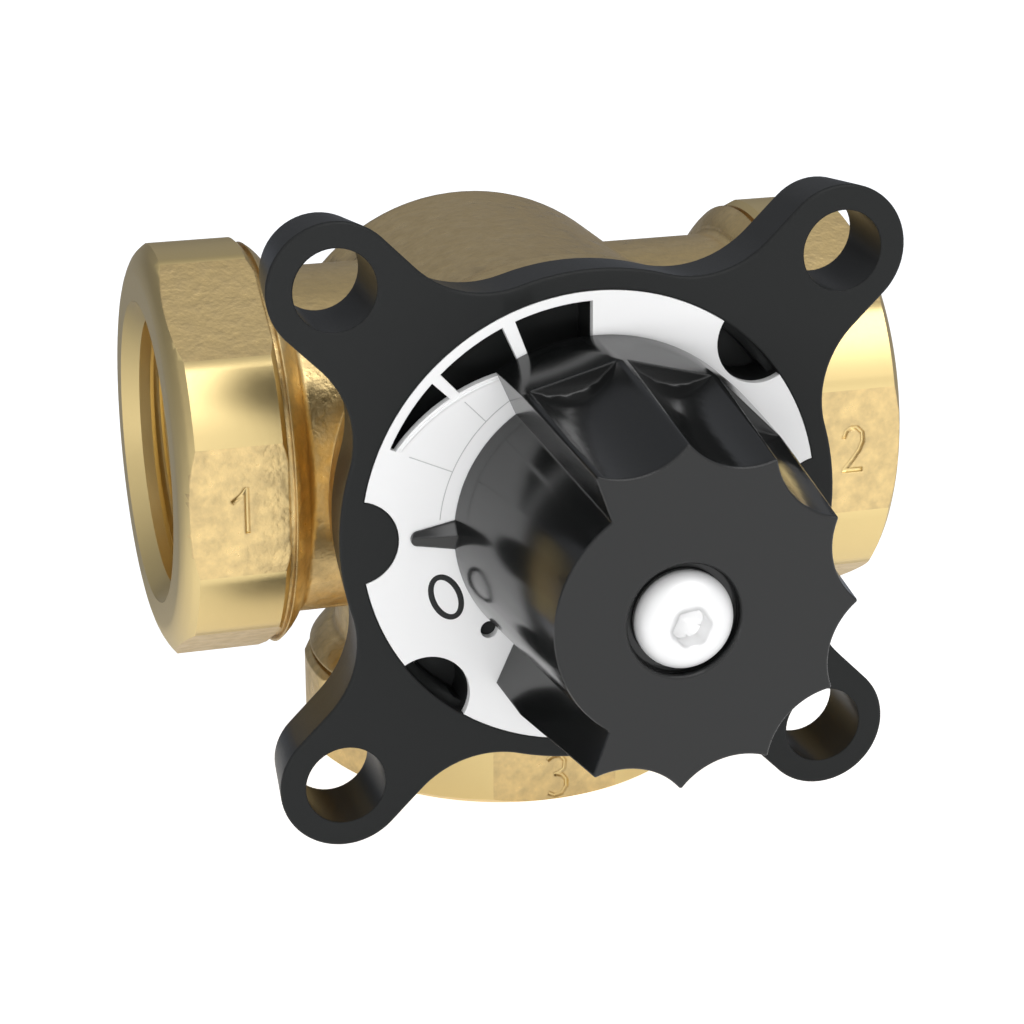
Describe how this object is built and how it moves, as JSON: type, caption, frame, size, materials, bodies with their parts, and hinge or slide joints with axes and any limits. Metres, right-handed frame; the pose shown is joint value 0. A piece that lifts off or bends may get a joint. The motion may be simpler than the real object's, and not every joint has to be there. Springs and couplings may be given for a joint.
{
  "type": "three-way mixing valve",
  "caption": "Rotary mixing valve with a brass body, threaded hexagon ends, a square moulded flange with ears, a dial and a scalloped hand knob.",
  "frame": {"origin": "centre of port 3's mouth, in the plane of its end face", "axes": "-Z out of port 3, -X out of port 1, +X out of port 2, -Y towards the knob"},
  "size_m": [0.122, 0.1304, 0.1084],
  "materials": {
    "cast_brass": "sand cast brass, shot blasted, with turned end faces",
    "turned_brass": "turned",
    "epdm": "moulded",
    "black_plastic": "moulded glass-filled nylon, semi-gloss",
    "black_steel": "black oxide",
    "white_plastic": "moulded, fine satin",
    "bearing_plastic": "turned PTFE",
    "stainless": "turned",
    "zinc_steel": "bright zinc plate"
  },
  "bodies": {
    "valve": {"valve_body": "cast_brass", "bonnet": "turned_brass", "bonnet_oring": "epdm", "mounting_flange": "black_plastic", "cover_screws": "black_steel", "dial_plate": "white_plastic", "front_bush": "bearing_plastic", "rear_bush": "bearing_plastic", "front_thrust_washer": "bearing_plastic", "rear_thrust_washer": "bearing_plastic", "spindle_oring_inner": "epdm", "spindle_oring_outer": "epdm", "seal_spacer": "bearing_plastic", "seal_retainer": "turned_brass", "stop_pins": "stainless"},
    "hand_knob": {"spindle": "stainless", "rotor": "turned_brass", "rotor_pin": "stainless", "retaining_ring": "black_steel", "stop_plate": "zinc_steel", "knob_insert": "turned_brass", "knob": "black_plastic", "knob_screw": "zinc_steel"}
  },
  "joints": [
    {"name": "spindle_turn", "type": "hinge", "parent": "valve", "child": "hand_knob", "pos_m": [0, -0.0515, 0.058], "axis": [0, 1, 0], "range_deg": [0, 90]}
  ]
}
